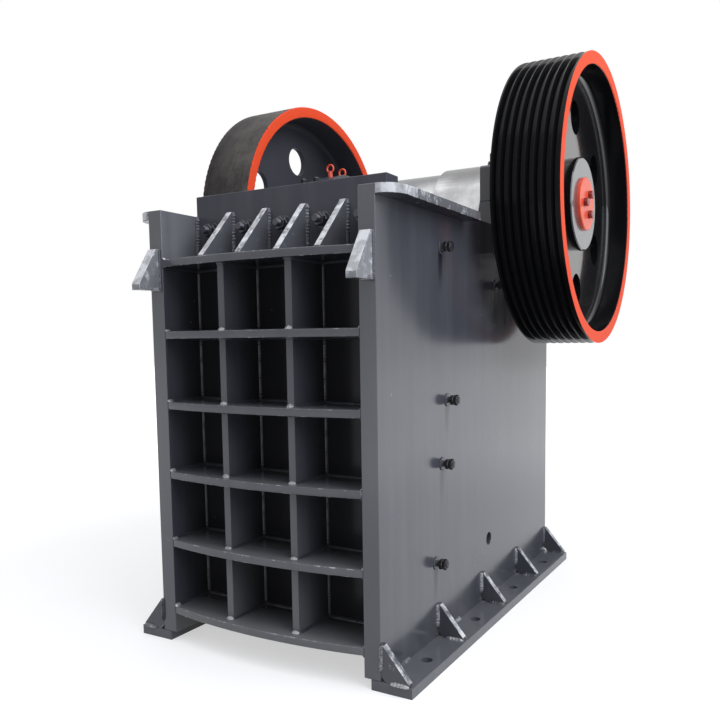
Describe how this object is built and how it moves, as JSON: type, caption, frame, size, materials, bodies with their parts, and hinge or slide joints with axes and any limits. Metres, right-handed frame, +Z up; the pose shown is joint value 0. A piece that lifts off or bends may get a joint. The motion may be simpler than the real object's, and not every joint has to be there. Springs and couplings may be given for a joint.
{
  "type": "single-toggle jaw crusher",
  "caption": "Single-toggle jaw crusher: ribbed plate frame on bolted feet, toothed fixed and moving jaws, eccentric shaft with a grooved belt sheave and a plain flywheel.",
  "frame": {"origin": "on the floor, at the centre of the foundation bolt rectangle", "axes": "+X along the shaft towards the belt sheave, +Y back from the feed wall, +Z up"},
  "size_m": [1.938, 2.234, 2.62],
  "materials": {
    "frame_paint": "gloss charcoal paint, rubbed bright on lugs, gussets and welds",
    "wheel_paint": "gloss black paint with orange-red rim faces",
    "signal_orange": "gloss orange-red paint",
    "jaw_grey": "satin silver-grey primer over casting",
    "wear_steel": "bare manganese steel casting",
    "cast_parts": "rough grey casting",
    "machined_steel": "turned and oiled steel"
  },
  "bodies": {
    "frame": {"side_plate_right": "frame_paint", "side_plate_left": "frame_paint", "front_wall": "frame_paint", "cross_ribs": "frame_paint", "upright_ribs": "frame_paint", "wall_gussets": "frame_paint", "foot_plate_right": "frame_paint", "foot_plate_left": "frame_paint", "foot_gussets_right": "frame_paint", "foot_gussets_left": "frame_paint", "top_flange_right": "frame_paint", "top_flange_left": "frame_paint", "lifting_lug_right": "frame_paint", "lifting_lug_left": "frame_paint", "rear_wall": "frame_paint", "rear_ribs": "frame_paint", "rear_uprights": "frame_paint", "rod_bracket": "frame_paint", "bearing_housing_right": "frame_paint", "bearing_housing_left": "frame_paint", "bearing_cap_right": "frame_paint", "bearing_cap_left": "frame_paint", "bearing_cover_right": "frame_paint", "bearing_cover_left": "frame_paint", "toggle_block": "frame_paint", "eyebolts_right": "signal_orange", "eyebolts_left": "signal_orange", "fixed_jaw_plate": "wear_steel", "cheek_plate_right": "wear_steel", "cheek_plate_left": "wear_steel", "toggle_plate": "cast_parts", "shim_plates": "cast_parts"},
    "rotor": {"eccentric_shaft": "machined_steel", "belt_sheave": "wheel_paint", "flywheel": "wheel_paint", "end_cap_right": "signal_orange", "end_cap_left": "signal_orange"},
    "jaw": {"moving_jaw": "jaw_grey", "moving_jaw_plate": "wear_steel", "jaw_clamp": "jaw_grey", "jaw_toggle_seat": "cast_parts", "rod_ear": "jaw_grey", "tension_rod": "machined_steel", "tension_spring": "machined_steel"}
  },
  "joints": [
    {"name": "rotor_spin", "type": "hinge", "parent": "frame", "child": "rotor", "pos_m": [0, 0.471, 1.942], "axis": [1, 0, 0], "continuous": true},
    {"name": "jaw_orbit", "type": "hinge", "parent": "rotor", "child": "jaw", "pos_m": [0, 0.471, 1.93], "axis": [1, 0, 0], "continuous": true}
  ],
  "couplings": [
    {"joint": "jaw_orbit", "follows": "rotor_spin", "ratio": -1}
  ]
}
